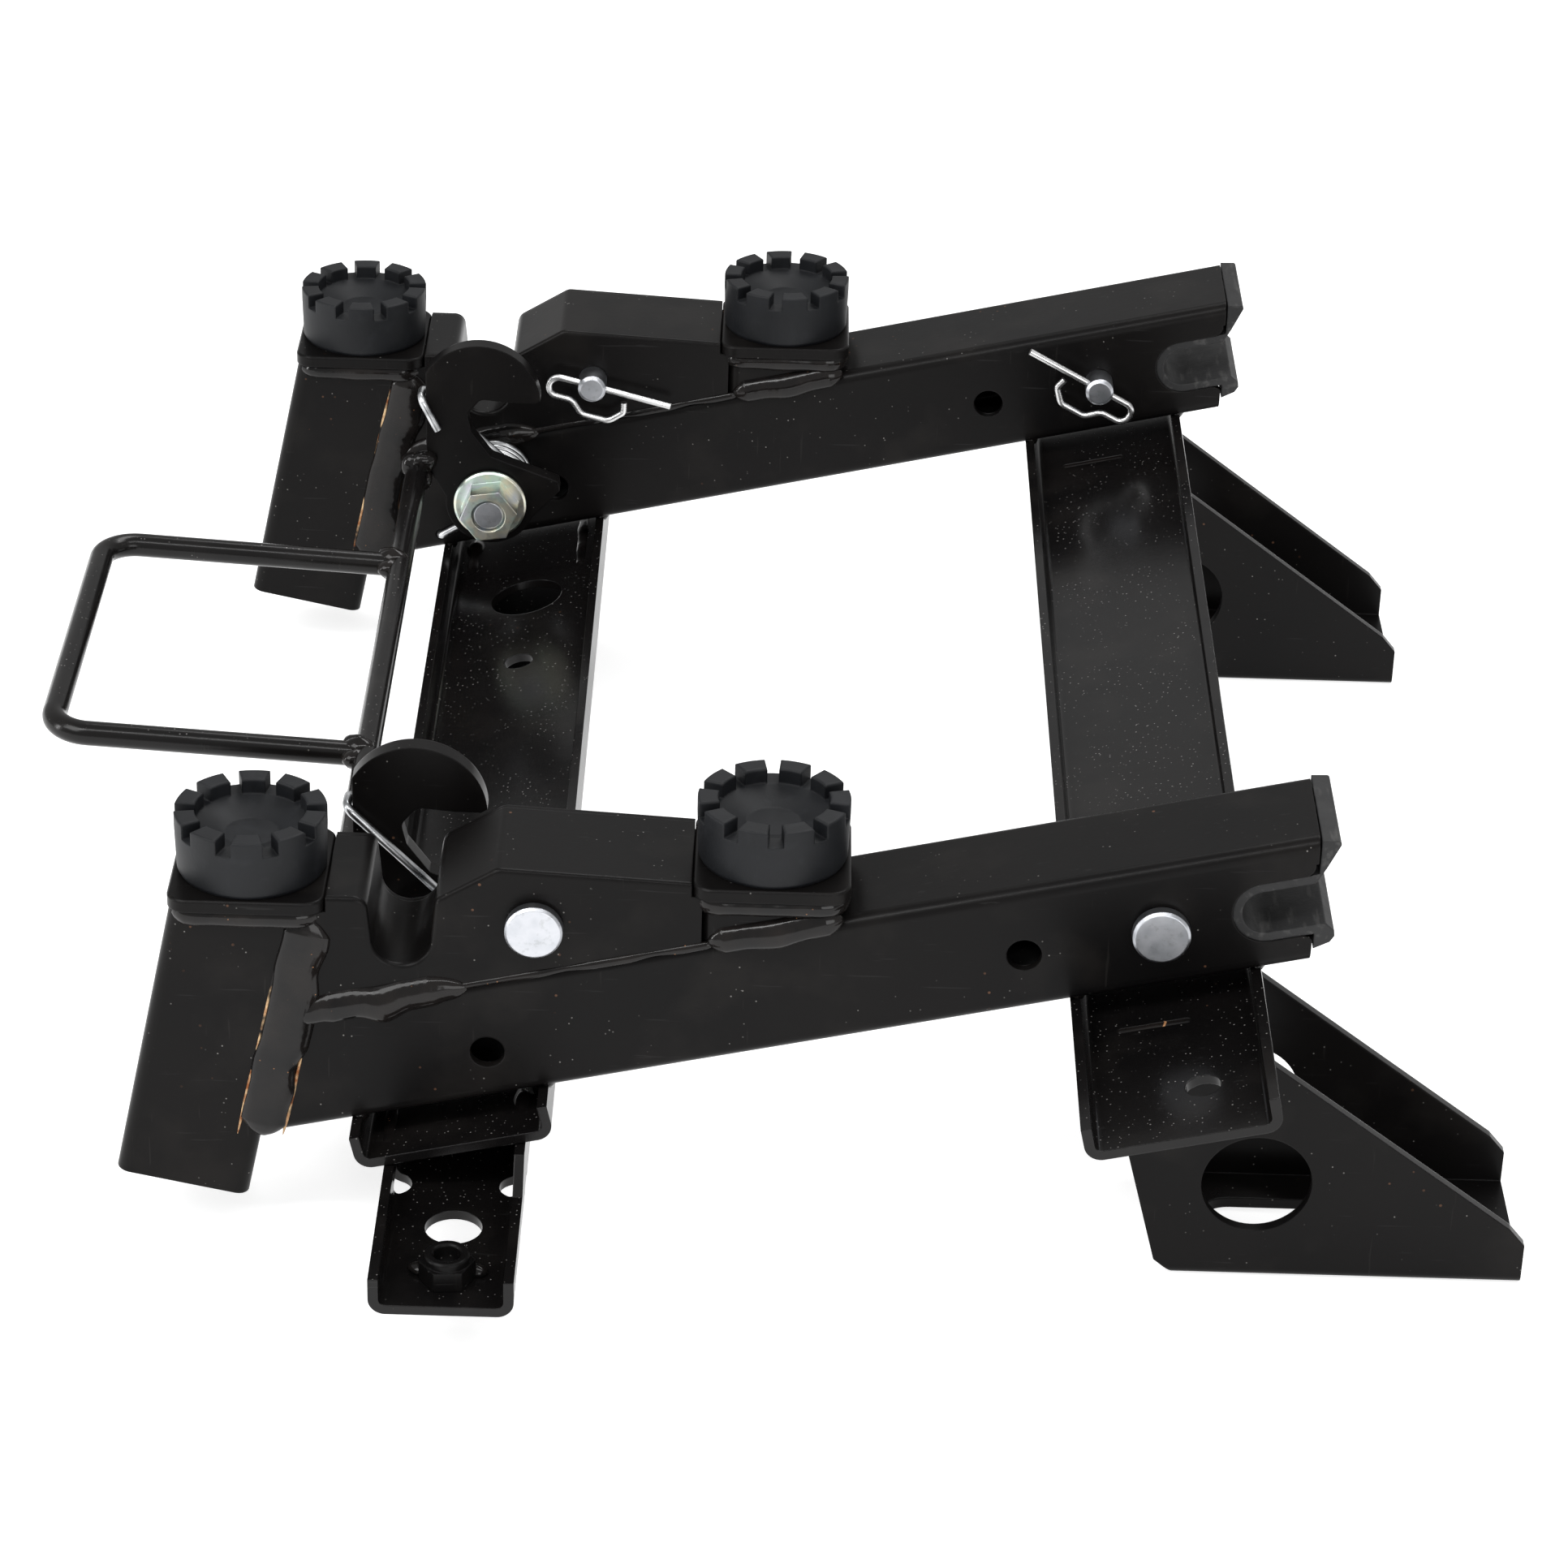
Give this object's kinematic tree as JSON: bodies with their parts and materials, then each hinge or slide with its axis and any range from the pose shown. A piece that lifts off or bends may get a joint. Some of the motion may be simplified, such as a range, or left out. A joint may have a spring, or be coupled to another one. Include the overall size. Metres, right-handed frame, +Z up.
{
  "type": "fifth wheel hitch base frame",
  "caption": "Welded tube frame with toothed rubber cup pads, notched saddles, spring-loaded latch hooks on a pull handle, lined rear slots, clevis pins and wedge-shaped mounting brackets.",
  "frame": {"origin": "centre of the footprint, at the height of the wedge brackets' floors", "axes": "+Z up, +X from the pull handle to the wedge brackets, +Y to the right-hand rail"},
  "size_m": [0.4638, 0.56, 0.1476],
  "materials": {
    "black_powder_coat": "semi-gloss black powder coat over welded mild steel",
    "pad_rubber": "matte moulded rubber",
    "liner_rubber": "scuffed extruded rubber",
    "zinc_plate": "bright zinc plate",
    "bright_wire": "bright drawn spring wire",
    "spring_steel": "dark oiled spring wire"
  },
  "bodies": {
    "frame": {"front_channel": "black_powder_coat", "rear_channel": "black_powder_coat", "side_rail_left": "black_powder_coat", "leg_left": "black_powder_coat", "rear_post_left": "black_powder_coat", "cap_plate_front_left": "black_powder_coat", "cap_plate_rear_left": "black_powder_coat", "saddle_left": "black_powder_coat", "saddle_plate_left": "black_powder_coat", "foot_bracket_left": "black_powder_coat", "wedge_bracket_left": "black_powder_coat", "cup_pad_front_left": "pad_rubber", "cup_pad_rear_left": "pad_rubber", "slot_liner_left": "liner_rubber", "weld_nut_left": "black_powder_coat", "flange_nut_left": "zinc_plate", "pivot_stud_left": "zinc_plate", "spacer_sleeve_left": "zinc_plate", "torsion_spring_left": "spring_steel", "side_rail_right": "black_powder_coat", "leg_right": "black_powder_coat", "rear_post_right": "black_powder_coat", "cap_plate_front_right": "black_powder_coat", "cap_plate_rear_right": "black_powder_coat", "saddle_right": "black_powder_coat", "saddle_plate_right": "black_powder_coat", "foot_bracket_right": "black_powder_coat", "wedge_bracket_right": "black_powder_coat", "cup_pad_front_right": "pad_rubber", "cup_pad_rear_right": "pad_rubber", "slot_liner_right": "liner_rubber", "weld_nut_right": "black_powder_coat", "flange_nut_right": "zinc_plate", "pivot_stud_right": "zinc_plate", "spacer_sleeve_right": "zinc_plate", "torsion_spring_right": "spring_steel"},
    "latch": {"cross_rod": "black_powder_coat", "pull_handle": "black_powder_coat", "latch_hook_left": "black_powder_coat", "latch_hook_right": "black_powder_coat"},
    "front_pin_left": {"clevis_pin_front_left": "zinc_plate"},
    "front_clip_left": {"hairpin_clip_front_left": "bright_wire"},
    "rear_pin_left": {"clevis_pin_rear_left": "zinc_plate"},
    "rear_clip_left": {"hairpin_clip_rear_left": "bright_wire"},
    "front_pin_right": {"clevis_pin_front_right": "zinc_plate"},
    "front_clip_right": {"hairpin_clip_front_right": "bright_wire"},
    "rear_pin_right": {"clevis_pin_rear_right": "zinc_plate"},
    "rear_clip_right": {"hairpin_clip_rear_right": "bright_wire"}
  },
  "joints": [
    {"name": "latch_release", "type": "hinge", "parent": "frame", "child": "latch", "pos_m": [-0.1009, 0, 0.07455], "axis": [0, -1, 0], "range_deg": [0, 40], "stiffness_Nm_per_rad": 0.9, "springref_deg": -68.75, "deforming": ["torsion_spring_left", "torsion_spring_right"]},
    {"name": "front_pin_left_play", "type": "slide", "parent": "frame", "child": "front_pin_left", "axis": [0, -1, 0], "range_m": [0, 0.0035]},
    {"name": "front_clip_left_pull", "type": "slide", "parent": "front_pin_left", "child": "front_clip_left", "axis": [-0.9682, 0, 0.2501], "range_m": [0, 0.036], "deforming": ["hairpin_clip_front_left"]},
    {"name": "rear_pin_left_play", "type": "slide", "parent": "frame", "child": "rear_pin_left", "axis": [0, -1, 0], "range_m": [0, 0.0035]},
    {"name": "rear_clip_left_pull", "type": "slide", "parent": "rear_pin_left", "child": "rear_clip_left", "axis": [0.9684, 0, -0.2496], "range_m": [0, 0.009], "deforming": ["hairpin_clip_rear_left"]},
    {"name": "front_pin_right_play", "type": "slide", "parent": "frame", "child": "front_pin_right", "axis": [0, 1, 0], "range_m": [0, 0.0035]},
    {"name": "front_clip_right_pull", "type": "slide", "parent": "front_pin_right", "child": "front_clip_right", "axis": [-0.9682, 0, 0.2501], "range_m": [0, 0.036], "deforming": ["hairpin_clip_front_right"]},
    {"name": "rear_pin_right_play", "type": "slide", "parent": "frame", "child": "rear_pin_right", "axis": [0, 1, 0], "range_m": [0, 0.0035]},
    {"name": "rear_clip_right_pull", "type": "slide", "parent": "rear_pin_right", "child": "rear_clip_right", "axis": [0.88, 0, -0.475], "range_m": [0, 0.009], "deforming": ["hairpin_clip_rear_right"]}
  ]
}
